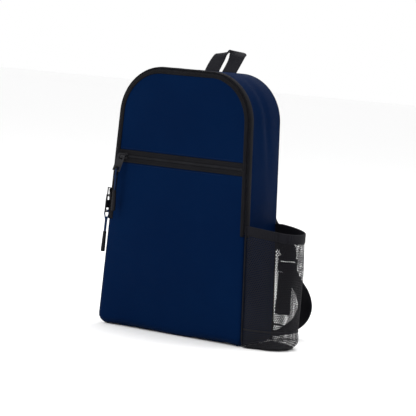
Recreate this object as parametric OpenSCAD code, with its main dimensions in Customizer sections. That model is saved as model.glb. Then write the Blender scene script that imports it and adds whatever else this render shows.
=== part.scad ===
// School backpack: a soft, box-shaped pack with an arched zip flap, a zipped front pocket, a mesh bottle
// pocket on the right side, a webbing grab handle and two adjustable shoulder straps.
// Frame: +X to the right of the front face, +Y towards the wearer's back, +Z up.
// Origin: the middle of the base. Units: millimetres.

/* [Body] */
// Width of the front face at its base
body_w = 256; // [240:4:280]
// How much narrower the front face is below the arch, on each side
body_taper = 14; // [6:1:18]
// Height of the front face at the top of the arch
body_h = 386; // [380:2:410]
// Depth from the front face to the back face
body_d = 90; // [85:5:120]
// How much narrower the back face is, on each side
back_inset = 6; // [4:1:12]
// Radius of the arch's two shoulders
shoulder_r = 70; // [60:2:84]
// Radius of the two bottom corners
corner_r = 14; // [12:1:20]
// Thickness of a fabric panel with its lining
fabric_t = 1.6; // [1.2:0.1:2]

/* [Main zip] */
// Height at which the flap folds and the main zip ends
fold_z = 156; // [150:1:160]
// Width of the zip tape on the front face
tape_front_w = 8; // [6:1:10]
// Depth of the body's half of the zip tape, on the side
tape_side_w = 9; // [7:1:12]
// Thickness of the zip tape
tape_t = 1.2; // [0.8:0.1:1.4]
// Height of the main slider's centre
main_slider_z = 196; // [190:1:230]

/* [Front pocket] */
// Height of the pocket zip's centre line
zip_z = 253; // [245:1:258]
// Height of the black band that the pocket zip makes
band_h = 19; // [17:1:24]
// Distance of the pocket slider from the middle of the face
pocket_slider_x = -100.5; // [-100.5:0.5:-90]
// Turn of the pocket puller away from the face
puller_turn = 34; // [20:1:36]
// Lean of the pocket zip's puller to the left, in degrees
puller_lean = 16; // [0:1:16]

/* [Zip pulls] */
// Width of a puller
puller_w = 11; // [10:0.5:12]
// Thickness of a puller's plate
puller_t = 1.6; // [1.2:0.1:1.8]
// Diameter of a pull cord
cord_d = 2; // [1.6:0.1:2.2]
// Length of the moulded grip on a pull cord
grip_len = 31; // [26:1:31]
// Diameter of the grip at its lower end
grip_d = 6.2; // [5:0.1:7]

/* [Bottle pocket] */
// Height of the pocket's top edge
pocket_h = 174; // [160:1:186]
// How far the pocket stands out from the side
pocket_out = 55; // [52:1:70]
// Thickness of the mesh
mesh_t = 1.2; // [1:0.1:1.4]
// Height of the elastic binding
binding_h = 14; // [10:1:18]

/* [Grab handle] */
// Width of the webbing
webbing_w = 25; // [20:1:25]
// Thickness of the webbing
webbing_t = 1.8; // [1.4:0.1:2]
// Height of the loop above the top seam
handle_h = 32; // [28:1:40]

/* [Shoulder straps] */
// Width of the padded strap
strap_w = 52; // [46:1:58]
// Thickness of the padded strap
strap_t = 9; // [7:1:11]

/* [Hidden] */
$fn = 64;

gap = 0.3;                        // clearance between pieces that don't touch
front_y = -body_d / 2;            // outer surface of the front face
back_y = body_d / 2;              // outer surface of the back face
flap_depth = 3.2;                 // how far the flap's zip tape turns back onto the side
gusset_y = front_y + fabric_t + 2 * gap;
base_x = body_w / 2;              // half-width of the front at the base
top_x = base_x - body_taper;      // half-width of the front at the arch's shoulders
shoulder_z = body_h - shoulder_r; // height of the shoulders' centres

// The straight side leans in by leg_lean degrees; it touches the bottom corner and the shoulder.
leg_dx = top_x - shoulder_r - (base_x - corner_r);
leg_dz = shoulder_z - corner_r;
leg_lean = -asin((shoulder_r - corner_r) / norm([leg_dx, leg_dz])) - atan(leg_dx / leg_dz);
leg_k = (base_x - corner_r) * cos(leg_lean) + corner_r * sin(leg_lean) + corner_r;

// Half-width of the front face at the height z on its straight side.
function leg_x(z) = (leg_k - z * sin(leg_lean)) / cos(leg_lean);

NAVY = "midnightblue";
BLACK = "#202024";

// ---------- outlines ----------

// Front outline in X and Z, grown by g: flat base, small bottom corners, leaning sides, large shoulders.
module outline(g = 0, inset = 0) {
    corner_x = base_x - inset - corner_r;
    shoulder_x = top_x - inset - shoulder_r;
    n = [cos(leg_lean), sin(leg_lean)];
    low = [corner_x, corner_r] + (corner_r + g) * n;
    high = [shoulder_x, shoulder_z] + (shoulder_r + g) * n;
    for (s = [-1, 1]) {
        translate([s * corner_x, corner_r]) circle(corner_r + g);
        translate([s * shoulder_x, shoulder_z]) circle(shoulder_r + g);
    }
    polygon([low, high, [shoulder_x, shoulder_z], [-shoulder_x, shoulder_z], [-high[0], high[1]],
             [-low[0], low[1]], [-corner_x, corner_r], [corner_x, corner_r]]);
    translate([-corner_x, -g]) square([2 * corner_x, corner_r + g + 1]);
    translate([-shoulder_x, shoulder_z - 1]) square([2 * shoulder_x, shoulder_r + g + 1]);
}

// Stands children on the side's surface at the height z, with +Z along the leg. side is 1 or -1.
module at_leg(side, z) {
    translate([side * leg_x(z), 0, z]) rotate([0, -side * leg_lean, 0]) children();
}

// Stands a drawing in X and Z upright, from y0 to y1.
module slab(y0, y1) {
    translate([0, y1, 0]) rotate([90, 0, 0]) linear_extrude(y1 - y0) children();
}

// Everything between two heights.
module band(z0, z1) {
    translate([-300, -300, z0]) cube([600, 600, z1 - z0]);
}

// The solid block inside the body's outer surface, grown by g, which narrows towards the back.
module tapered_block(g) {
    hull() {
        slab(front_y - 20, front_y - 19.9) outline(g, -back_inset * 20 / body_d);
        slab(back_y + 19.9, back_y + 20) outline(g, back_inset * (1 + 20 / body_d));
    }
}

// ---------- body panels ----------

module back_panel() {
    color(BLACK) slab(back_y - 2, back_y) outline(0, back_inset);
}

module back_foam_pad() {
    color("dimgray") slab(back_y - 7.5, back_y - 2 - gap) outline(-8, back_inset);
}

// One strip round both sides and the top, with the two bottom corners.
module gusset() {
    base_cut_w = body_w - 2 * corner_r;
    color(NAVY) difference() {
        intersection() {
            tapered_block(0);
            translate([-300, gusset_y, -1]) cube([600, back_y - 2 - gap - gusset_y, 600]);
        }
        tapered_block(-fabric_t);
        translate([0, 0, -1]) linear_extrude(1 + 2 + gap) base_outline(gap);
        translate([-300, front_y - 1, fold_z - 0.5]) cube([600, 1 + flap_depth + 2 * gap, 600]);
    }
}

// The base in plan, grown by g: narrower at the back.
module base_outline(g = 0) {
    front_half = base_x - corner_r - gap;
    back_half = front_half - back_inset;
    y0 = front_y + 3;
    y1 = back_y - 3;
    polygon([[-front_half - g, y0 - g], [front_half + g, y0 - g],
             [back_half + g, y1 + g], [-back_half - g, y1 + g]]);
}

module base_panel() {
    color(NAVY) linear_extrude(2) base_outline();
}

module front_lower_panel() {
    color(NAVY) intersection() {
        slab(front_y, front_y + fabric_t) outline();
        band(2 + gap, fold_z - gap);
    }
}

// The bottle pocket's front seam is bound where it joins the body's lower right edge.
module pocket_seam_binding() {
    r = 1.7;
    color(BLACK) at_leg(1, corner_r + 1) translate([0.2 + r, front_y + 0.6, 0])
        cylinder(r = r, h = fold_z - corner_r - 4);
}

module pocket_lining(z0, z1) {
    color("slategray") intersection() {
        slab(front_y + 9, front_y + 10) outline(-13);
        band(z0, z1);
    }
}

// ---------- flap panels ----------

module front_upper_panel() {
    color(NAVY) intersection() {
        slab(front_y, front_y + fabric_t) outline(-0.1);
        band(zip_z + band_h / 2 + gap, 600);
    }
}

module pocket_panel_upper() {
    color(NAVY) intersection() {
        slab(front_y, front_y + fabric_t) outline(-0.1);
        band(fold_z + gap, zip_z - band_h / 2 - gap);
    }
}

// ---------- main zip ----------

// The flap's half of the tape: a strip on the front face that turns back onto the side.
module main_zip_tape_flap() {
    color(BLACK) intersection() {
        difference() {
            slab(front_y - tape_t, front_y + flap_depth) outline(tape_t);
            slab(front_y - 10, front_y + 20) outline(-tape_front_w);
            slab(front_y, front_y + 20) outline(0);
        }
        band(fold_z + 2, 600);
    }
}

module main_zip_tape_body() {
    color(BLACK) intersection() {
        difference() {
            slab(front_y + flap_depth + gap, front_y + flap_depth + gap + tape_side_w) outline(tape_t);
            slab(front_y, front_y + 40) outline(0.1);
        }
        band(fold_z + 1, 600);
    }
}

// A row of teeth behind the edge of a tape, from depth y0 to y1 behind the front face.
module zip_teeth_ring(y0, y1, outer) {
    color("black") intersection() {
        difference() {
            slab(front_y + y0, front_y + y1) outline(-outer);
            slab(front_y, front_y + 20) outline(-outer - 1.4);
        }
        band(fold_z + 4, 600);
    }
}

// Metal stops at the two lower ends of the main zip, clear of the slider.
module main_zip_end_stops() {
    color("#3a3a40") for (side = [-1, 1]) at_leg(side, fold_z + 4)
        translate([side * (tape_t + 0.1) - (side < 0 ? 0.8 : 0), front_y + flap_depth + gap, 0])
            cube([0.8, 4, 2]);
}

// ---------- pocket zip ----------

zip_half_len = leg_x(zip_z + band_h / 2) - 1;   // the tapes run on under the main zip's tape
teeth_half_len = zip_half_len - tape_front_w;

module pocket_zip_tape(side) {
    z0 = side > 0 ? zip_z + 2.4 : zip_z - band_h / 2;
    color(BLACK) translate([-zip_half_len, front_y, z0])
        cube([2 * zip_half_len, 1.1, band_h / 2 - 2.4]);
}

module pocket_zip_teeth() {
    color("black") translate([-teeth_half_len, front_y - 1, zip_z - 2.1]) cube([2 * teeth_half_len, 2, 4.2]);
}

module pocket_zip_end_stops() {
    stop_x = teeth_half_len + 0.1;
    color("#3a3a40") for (s = [-1, 1])
        translate([s > 0 ? stop_x : -stop_x - 0.7, front_y - 1, zip_z - 2.6]) cube([0.7, 0.9, 5.2]);
}

// ---------- slider and puller ----------
// A slider's own frame: it travels along X, and stands out along -Y from a tape whose surface is at y = 0.

slider_len = 14;
slider_w = 10;
plate_y = -2.6;                   // outer surface of the slider's plate
bridge_r = 0.9;                   // radius of the bridge's bar
bridge_y = -8.5;                  // centre of the bridge's bar
foot_in = 5.6;                    // from the slider's middle to the inside of a bridge foot
foot_t = 1.3;

module slider_body() {
    nose = slider_w / 2;
    tail = slider_w / 2 - 1.3;
    translate([0, plate_y + 1.2, 0]) rotate([90, 0, 0]) linear_extrude(1.2)
        polygon([[-slider_len / 2, -tail], [-1, -tail],
                 [slider_len / 2 - 3, -nose], [slider_len / 2, -nose + 2],
                 [slider_len / 2, nose - 2], [slider_len / 2 - 3, nose],
                 [-1, tail], [-slider_len / 2, tail]]);
    for (s = [-1, 1]) {
        translate([-slider_len / 2, plate_y + 1, s > 0 ? tail - 0.8 : -tail]) cube([6, 1.2, 0.8]);
        translate([s > 0 ? foot_in : -foot_in - foot_t, bridge_y, -bridge_r])
            cube([foot_t, plate_y - bridge_y + 0.2, 2 * bridge_r]);
    }
    translate([-foot_in - foot_t, bridge_y, 0]) rotate([0, 90, 0])
        cylinder(r = bridge_r, h = 2 * (foot_in + foot_t));
}

// A puller hangs down -Z from the pin at its top, in the X and Z plane, facing -Y.
pin_r = 0.9;
window_h = 7;
plate_len = 11.4;
slot_h = 5;
bar_r = 1;                        // radius of the bottom bar, which the cord goes round
bar_v = pin_r + window_h + plate_len + slot_h + bar_r + 0.2;   // the bar's depth below the pin

module puller_plate() {
    half = puller_w / 2;
    rail = 2;
    top_half = half - 0.6;
    translate([0, puller_t / 2, 0]) rotate([90, 0, 0]) linear_extrude(puller_t) difference() {
        polygon([[-top_half, 0], [top_half, 0], [half, -window_h - 2], [half, -bar_v], [-half, -bar_v],
                 [-half, -window_h - 2]]);
        translate([-top_half + rail, -pin_r - window_h])
            square([2 * (top_half - rail), pin_r + window_h + 1]);
        translate([-half + rail, -bar_v - 1]) square([2 * (half - rail), bar_r + slot_h + 1.2]);
    }
    rotate([0, 90, 0]) cylinder(r = pin_r, h = 2 * top_half, center = true);
    translate([0, 0, -bar_v]) rotate([0, 90, 0]) cylinder(r = bar_r, h = puller_w, center = true);
}

// ---------- pull cord and grip ----------
// Own frame: the puller's bottom bar runs along X through the origin, and the cord hangs down -Z.

// Half of the cord's route from the top of its loop down to the grip, as [out, down].
cord_half = [[0, -2.2], [1.6, -1.9], [3, -0.9], [3.8, 0.6], [4, 2.2], [3.7, 4.2], [3, 6.4], [2.2, 8.6],
             [1.5, 10.6], [1.15, 12.6], [1.1, 15], [1.1, 18], [1.1, 21], [1.1, 24], [1.1, 26.5], [1.1, 29]];
grip_top = 29;                    // the grip's top below the bar

cord_route = concat(
    [for (i = [len(cord_half) - 1:-1:0]) [0, -cord_half[i][0], -cord_half[i][1]]],
    [for (i = [1:len(cord_half) - 1]) [0, cord_half[i][0], -cord_half[i][1]]]
);

module pull_cord() {
    tube(cord_route, cord_d / 2, 8, [1, 0, 0]);
}

// A moulded sleeve, a little thicker at its lower end, with a softened rim.
module pull_grip() {
    r1 = grip_d / 2;
    r0 = r1 - 0.5;
    translate([0, 0, -grip_top - grip_len]) rotate_extrude()
        polygon([[0, 0], [r1 - 1, 0], [r1 - 0.3, 0.4], [r1, 1.2], [r1, 6], [r0, grip_len - 3],
                 [r0 - 0.1, grip_len - 0.9], [r0 - 0.5, grip_len - gap], [0, grip_len - gap]]);
}

// ---------- where the zip pulls sit ----------

module at_pocket_slider() {
    translate([pocket_slider_x, front_y, zip_z]) children();
}

// The puller's window hangs on the bridge's bar, turned away from the face.
pin_rise = 2.5;                   // from the bridge's bar to the pocket puller's pin

module at_pocket_puller() {
    at_pocket_slider() translate([0, bridge_y, 0]) rotate([0, 0, puller_turn]) rotate([0, puller_lean, 0])
        translate([0, 0, pin_rise]) children();
}

// The pocket zip's cord hangs plumb from the leaning puller's bottom bar.
module at_pocket_pull() {
    at_pocket_slider() translate([0, bridge_y, 0]) rotate([0, 0, puller_turn]) rotate([0, puller_lean, 0])
        translate([0, 0, pin_rise - bar_v]) rotate([0, -puller_lean, 0]) children();
}

// The main slider travels up the left side, and faces left.
main_zip_y = front_y + flap_depth + gap / 2;

module at_main_slider() {
    at_leg(-1, main_slider_z) translate([-tape_t, main_zip_y, 0]) rotate([0, 0, -90]) rotate([0, -90, 0])
        children();
}

main_pin_out = 6.2;               // from the tape to the main puller's pin

module at_main_puller() {
    at_leg(-1, main_slider_z) translate([-tape_t - main_pin_out, main_zip_y, -foot_in + pin_r + 0.2])
        rotate([0, 0, -90]) children();
}

module pocket_slider() {
    color("#2b2b30") at_pocket_slider() slider_body();
}

module pocket_puller() {
    color("#2b2b30") at_pocket_puller() puller_plate();
}

module pocket_pull_cord() {
    color(NAVY) at_pocket_pull() pull_cord();
}

module pocket_pull_grip() {
    color(BLACK) at_pocket_pull() pull_grip();
}

module main_slider() {
    color("#2b2b30") at_main_slider() slider_body();
}

module main_puller() {
    color("#2b2b30") at_main_puller() puller_plate();
}

module main_pull_cord() {
    color(NAVY) at_main_puller() translate([0, 0, -bar_v]) pull_cord();
}

module main_pull_grip() {
    color(BLACK) at_main_puller() translate([0, 0, -bar_v]) pull_grip();
}

// ---------- mesh bottle pocket ----------
// In plan the pocket leaves the front seam, bulges round a bottle and comes back to the back seam.

pocket_y0 = front_y + 3;
pocket_y1 = back_y - 3;
pocket_corner = 34;               // radius of the pocket's two outer corners in plan
flange_x = base_x + tape_t + gap; // the pocket's two edges stand beside the body

module pocket_plan(g = 0) {
    mid = (pocket_y0 + pocket_y1) / 2;
    half = (pocket_y1 - pocket_y0) / 2;
    for (s = [-1, 1])
        translate([flange_x + pocket_out - pocket_corner, mid + s * (half - pocket_corner)])
            circle(pocket_corner + g);
    translate([flange_x - 30, pocket_y0 - g])
        square([pocket_out - pocket_corner + 30, 2 * half + 2 * g]);
    translate([flange_x, mid - half + pocket_corner])
        square([pocket_out + g, 2 * (half - pocket_corner)]);
}

// Keeps what lies outside the body's right side.
module outside_right(g) {
    front_x = flange_x + g;
    back_x = flange_x - back_inset + g;
    intersection() {
        children();
        polygon([[front_x, front_y], [400, front_y], [400, back_y], [back_x, back_y]]);
    }
}

module mesh_pocket() {
    color("#2a2a2e") translate([0, 0, 3]) linear_extrude(pocket_h - binding_h - 3 - gap)
        outside_right(0) difference() {
            pocket_plan();
            pocket_plan(-mesh_t);
        }
}

module mesh_pocket_floor() {
    color("#2a2a2e") translate([0, 0, 1]) linear_extrude(mesh_t) outside_right(0) pocket_plan(-mesh_t - gap);
}

module mesh_pocket_binding() {
    color(BLACK) translate([0, 0, pocket_h - binding_h]) linear_extrude(binding_h)
        outside_right(0) difference() {
            pocket_plan(0.5);
            pocket_plan(-mesh_t - 0.5);
        }
}

// ---------- webbing and straps ----------

function unit(v) = v / norm(v);

// A smooth curve through the points p, in n steps a span.
function spline_at(p, i, t) =
    let (last = len(p) - 1, a = p[max(i - 1, 0)], b = p[i], c = p[min(i + 1, last)], d = p[min(i + 2, last)])
    0.5 * (2 * b + (c - a) * t + (2 * a - 5 * b + 4 * c - d) * t * t + (3 * b - a - 3 * c + d) * t * t * t);
function spline(p, n) = concat(
    [for (i = [0:len(p) - 2], k = [0:n - 1]) spline_at(p, i, k / n)], [p[len(p) - 1]]);

function tangent(p, i) = unit(p[min(i + 1, len(p) - 1)] - p[max(i - 1, 0)]);

// Sweeps rings of points into one closed solid.
module skin(rings) {
    n = len(rings[0]);
    m = len(rings);
    sides = [for (i = [0:m - 2], k = [0:n - 1], half = [0, 1])
        let (a = i * n + k, b = i * n + (k + 1) % n)
        half == 0 ? [a, b, b + n] : [a, b + n, a + n]];
    caps = [[for (k = [n - 1:-1:0]) k], [for (k = [0:n - 1]) (m - 1) * n + k]];
    polyhedron([for (r = rings) for (q = r) q], concat(sides, caps), convexity = 10);
}

// A round tube along the points p. "across" is a direction that the route never follows.
module tube(p, r, sides, across) {
    skin([for (i = [0:len(p) - 1])
        let (t = tangent(p, i), u = unit(cross(t, across)), v = cross(t, u))
        [for (k = [0:sides - 1]) p[i] + r * (cos(360 * k / sides) * u + sin(360 * k / sides) * v)]]);
}

// A flat strip along the points p: w holds each point's width and x each point's width direction.
module ribbon(p, w, x, t) {
    skin([for (i = [0:len(p) - 1])
        let (tan = tangent(p, i), n = unit(cross(tan, x[i])), b = cross(n, tan) * w[i] / 2, h = n * t / 2)
        [p[i] - b - h, p[i] + b - h, p[i] + b + h, p[i] - b + h]]);
}

// The right strap's centre line, from its sewn top end to the ladder lock.
strap_route = [[36, 53, 366], [40, 57, 346], [48, 60, 306], [58, 61, 258], [68, 62, 206], [78, 69, 173],
               [94, 86, 151], [104, 96.5, 136]];
strap_widths = [1, 1, 1, 1, 1, 0.95, 0.78, 0.62];
strap_steps = 4;

// The right adjuster webbing: anchor tab, slack loop, up behind the ladder lock and round its bar.
// The tail hangs from there.
lock_x = 108;
lock_y = 99;
lock_z = 118;                     // the ladder lock's top bar
bar_gap = 9;                      // between two bars of the ladder lock
turn_r = 3;                       // of the webbing round the middle bar
turn_z = lock_z - bar_gap;
adjuster_route = [[104, 48.2, 10], [104.3, 56, 9.5], [109, 68, 8], [118, 90, 12], [127, 112, 26],
                  [131, 120, 46], [127, 116, 68], [116, 105, 90], [lock_x, lock_y + turn_r, turn_z - 4]];
tail_y = lock_y - turn_r - 0.4;
tail_z = turn_z - 12;
tail_len = 62;

function mirrored(side, p) = [for (q = p) [side * q[0], q[1], q[2]]];

// The same points with their widths spread along them.
function spread(values, n) = let (m = len(values) - 1)
    [for (i = [0:n - 1]) let (f = m * i / (n - 1), k = min(floor(f), m - 1))
        values[k] + (values[k + 1] - values[k]) * (f - k)];

module shoulder_strap(side) {
    p = spline(mirrored(side, strap_route), strap_steps);
    color(BLACK) ribbon(p, strap_w * spread(strap_widths, len(p)), [for (q = p) [1, 0, 0]], strap_t);
}

module adjuster_webbing(side) {
    turn = [for (a = [0:20:180]) [lock_x, lock_y + turn_r * cos(a), turn_z + turn_r * sin(a)]];
    p = mirrored(side, concat(spline(adjuster_route, 4), turn, [[lock_x, tail_y, tail_z + 0.9]]));
    color(BLACK) ribbon(p, [for (q = p) webbing_w], [for (q = p) [1, 0, 0]], 1.6);
}

// The webbing's loose end hangs straight down, with its tip folded over and sewn.
module strap_tail(side) {
    color(BLACK) translate([side * lock_x - webbing_w / 2, tail_y - 0.8, tail_z - tail_len]) {
        cube([webbing_w, 1.6, tail_len]);
        translate([0, -1.6, 0]) cube([webbing_w, 1.8, 20]);
    }
}

// A frame with three bars for the strap's end loop and the adjuster webbing.
module ladder_lock(side) {
    half = webbing_w / 2 + 0.7;
    rail = 3;
    color("#1a1a1c") translate([side * lock_x, lock_y, lock_z]) {
        for (s = [-1, 1])
            translate([s > 0 ? half : -half - rail, -1.7, -2 * bar_gap - 1.7])
                cube([rail, 3.4, 2 * bar_gap + 3.4]);
        for (i = [0:2])
            translate([0, 0, -i * bar_gap]) rotate([0, 90, 0])
                cylinder(r = 1.3, h = 2 * half + 1, center = true);
    }
}

// Webbing folded round the ladder lock's top bar and up to the padded strap.
module strap_end_loop(side) {
    inner = 1.7;
    color(BLACK) translate([side * lock_x - webbing_w / 2, lock_y, lock_z]) rotate([90, 0, 90])
        linear_extrude(webbing_w) difference() {
            union() {
                circle(inner + 1.4);
                translate([-inner - 1.4, 0]) square([2 * (inner + 1.4), 10]);
            }
            circle(inner);
            translate([-inner, 0]) square([2 * inner, 8.6]);
        }
}

module anchor_tab(side) {
    x = base_x - back_inset;
    color(BLACK) slab(back_y + 0.2, back_y + 2)
        polygon([[side * (x - 4), 6], [side * (x - 36), 6], [side * (x - 14), 30], [side * (x - 4), 30]]);
}

module strap_yoke() {
    color(BLACK) slab(back_y + 0.2, back_y + 2) polygon([[-66, 352], [66, 352], [60, 378], [-60, 378]]);
}

// ---------- grab handle ----------
// Both ends of the webbing stand side by side in the top seam. The loop leans back, inner edge highest.

handle_y = back_y - 3;
handle_z = body_h + 1.3;
// Half of the loop's centre line, in X and in parts of the loop's height in Y and Z.
handle_half = [[15.5, 0, 0], [15.75, 0.19, 0.26], [15.6, 0.4, 0.52], [14.6, 0.6, 0.76],
               [9.6, 0.88, 0.91], [0, 0.99, 0.98]];
// The loop's width turns from along X at the seam to along Y at the top.
handle_turn = [0, 0, 2, 10, 50, 90];

module grab_handle() {
    m = len(handle_half) - 1;
    half = [for (q = handle_half) [-q[0], handle_y + q[1] * handle_h, handle_z + q[2] * handle_h]];
    p = spline(concat(half, [for (i = [m - 1:-1:0]) [-half[i][0], half[i][1], half[i][2]]]), 3);
    turn = spread(concat(handle_turn, [for (i = [m - 1:-1:0]) 180 - handle_turn[i]]), len(p));
    x = [for (a = turn) [cos(a), -sin(a), 0.1 * sin(a)]];
    color(BLACK) ribbon(p, [for (q = p) webbing_w], x, webbing_t);
}

// ---------- nodes ----------

back_panel();
back_foam_pad();
gusset();
base_panel();
front_lower_panel();
pocket_lining(20, fold_z - 3);  // pocket_lining_lower
main_zip_tape_body();
zip_teeth_ring(4.2, 5.4, 2.7);  // main_zip_teeth_body
main_zip_end_stops();
pocket_seam_binding();
mesh_pocket();
mesh_pocket_floor();
mesh_pocket_binding();
strap_yoke();
shoulder_strap(-1);  // shoulder_strap_left
shoulder_strap(1);  // shoulder_strap_right
strap_end_loop(-1);  // strap_end_loop_left
strap_end_loop(1);  // strap_end_loop_right
ladder_lock(-1);  // ladder_lock_left
ladder_lock(1);  // ladder_lock_right
adjuster_webbing(-1);  // adjuster_webbing_left
adjuster_webbing(1);  // adjuster_webbing_right
strap_tail(-1);  // strap_tail_left
strap_tail(1);  // strap_tail_right
anchor_tab(-1);  // anchor_tab_left
anchor_tab(1);  // anchor_tab_right
front_upper_panel();
pocket_panel_upper();
pocket_lining(fold_z + 3, zip_z + band_h / 2);  // pocket_lining_upper
main_zip_tape_flap();
zip_teeth_ring(2, 3.4, 2.7);  // main_zip_teeth_flap
pocket_zip_tape(1);  // pocket_zip_tape_upper
pocket_zip_tape(-1);  // pocket_zip_tape_lower
pocket_zip_teeth();
pocket_zip_end_stops();
pocket_slider();
pocket_puller();
pocket_pull_cord();
pocket_pull_grip();
main_slider();
main_puller();
main_pull_cord();
main_pull_grip();
grab_handle();
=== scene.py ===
"""School backpack: the looks. Lengths are in millimetres until a mesh is made, and the frame is the CAD's:
+X to the right of the front face, +Y towards the wearer's back, +Z up, origin in the middle of the base."""
import math
import bpy
import numpy as np
from mathutils import Matrix, Vector, noise


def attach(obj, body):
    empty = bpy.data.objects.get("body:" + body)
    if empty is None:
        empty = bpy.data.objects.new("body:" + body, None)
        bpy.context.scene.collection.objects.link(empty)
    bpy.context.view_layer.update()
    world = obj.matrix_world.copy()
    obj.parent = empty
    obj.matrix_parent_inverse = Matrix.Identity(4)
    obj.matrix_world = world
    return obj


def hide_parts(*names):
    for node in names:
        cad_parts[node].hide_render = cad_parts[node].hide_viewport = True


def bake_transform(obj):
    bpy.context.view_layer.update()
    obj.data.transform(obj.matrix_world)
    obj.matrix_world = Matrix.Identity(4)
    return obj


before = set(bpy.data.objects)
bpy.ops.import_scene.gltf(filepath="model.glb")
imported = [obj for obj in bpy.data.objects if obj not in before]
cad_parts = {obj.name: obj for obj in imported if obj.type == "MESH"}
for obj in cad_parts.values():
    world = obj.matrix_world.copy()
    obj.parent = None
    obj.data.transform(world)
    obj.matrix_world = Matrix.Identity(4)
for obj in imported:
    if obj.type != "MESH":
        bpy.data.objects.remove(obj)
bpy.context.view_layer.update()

# ---------- sizes shared with the CAD ----------
BASE_X, TOP_X, HEIGHT = 128, 114, 386
CORNER_R, SHOULDER_R = 14, 70
FRONT_Y, BACK_Y = -45, 45
BACK_INSET = 6
FOLD_Z = 156
ZIP_Z, BAND_H = 253, 19
POCKET_TOP, BINDING_H, MOUTH_DROOP = 174, 14, 7
PULLER_TURN = 34
BRIDGE_OUT = 8.5
SLIDER_X = -100.5
PULLER_LEAN, PIN_RISE = 16, 2.5
MAIN_SLIDER_Z = 196
FLAP_DEPTH, GAP = 3.2, 0.3
TAPE_T, MAIN_PIN_OUT, FOOT_IN, PIN_R = 1.2, 6.2, 5.6, 0.9
WEBBING_W = 25

# ---------- sizes of the looks alone ----------
CLOTH_FRAMES = 20
CHANNEL_X, CHANNEL_W, PUFF = 46, 3.2, 2.6
FLOOR_HALF, FLOOR_DROP = 12, 0.0006
FABRIC_T = 0.0013
MESH_PITCH, MESH_HOLE = 3.0, 0.62
SIX = [k * math.pi / 3 for k in range(6)]


# ---------- camera, floor and light ----------

def build_camera():
    azimuth, elevation, roll = math.radians(34.06), math.radians(4.85), math.radians(4.42)
    distance = 3.0
    forward = -Vector((math.sin(azimuth) * math.cos(elevation), -math.cos(azimuth) * math.cos(elevation),
                       math.sin(elevation)))
    right = Vector((math.cos(azimuth), math.sin(azimuth), 0))
    up = right.cross(forward)
    target = Vector((0, 0, 0.2)) + right * 0.0203 - up * 0.0134
    x = right * math.cos(roll) + up * math.sin(roll)
    y = up * math.cos(roll) - right * math.sin(roll)
    place = Matrix((x, y, -forward)).transposed().to_4x4()
    place.translation = target - forward * distance
    camera = bpy.data.objects.new("camera", bpy.data.cameras.new("camera"))
    camera.data.sensor_width = 36
    focal_pixels, frame_pixels = 2036, 416
    camera.data.lens = focal_pixels * 36 / frame_pixels
    camera.data.clip_end = 30
    camera.matrix_world = place
    bpy.context.collection.objects.link(camera)
    bpy.context.scene.camera = camera


def build_light(name, place, target, size, watts):
    light = bpy.data.objects.new(name, bpy.data.lights.new(name, "AREA"))
    light.data.shape = "RECTANGLE"
    light.data.size, light.data.size_y = size
    light.data.energy = watts
    light.location = place
    light.rotation_euler = (Vector(target) - Vector(place)).to_track_quat("-Z", "Y").to_euler()
    bpy.context.collection.objects.link(light)


def build_studio():
    bpy.context.scene.view_settings.view_transform = "Standard"
    floor_mesh = bpy.data.meshes.new("floor")
    s = FLOOR_HALF
    floor_mesh.from_pydata([(-s, -s, 0), (s, -s, 0), (s, s, 0), (-s, s, 0)], [], [(0, 1, 2, 3)])
    floor = bpy.data.objects.new("floor", floor_mesh)
    floor.location.z = -FLOOR_DROP
    bpy.context.collection.objects.link(floor)
    pale = bpy.data.materials.new("pale_floor")
    pale.use_nodes = True
    shader = pale.node_tree.nodes["Principled BSDF"]
    shader.inputs["Base Color"].default_value = (0.96, 0.96, 0.96, 1)
    shader.inputs["Roughness"].default_value = 0.85
    floor.data.materials.append(pale)
    world = bpy.data.worlds.new("studio")
    bpy.context.scene.world = world
    world.use_nodes = True
    background = world.node_tree.nodes["Background"]
    background.inputs["Color"].default_value = (1, 1, 1, 1)
    background.inputs["Strength"].default_value = 1.0
    build_light("key", (-1.3, -2.2, 2.0), (0, 0, 0.2), (1.2, 1.2), 38)
    build_light("top", (0.2, 0.6, 2.4), (0, 0, 0.3), (1.2, 1.2), 30)


# ---------- materials ----------

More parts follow.
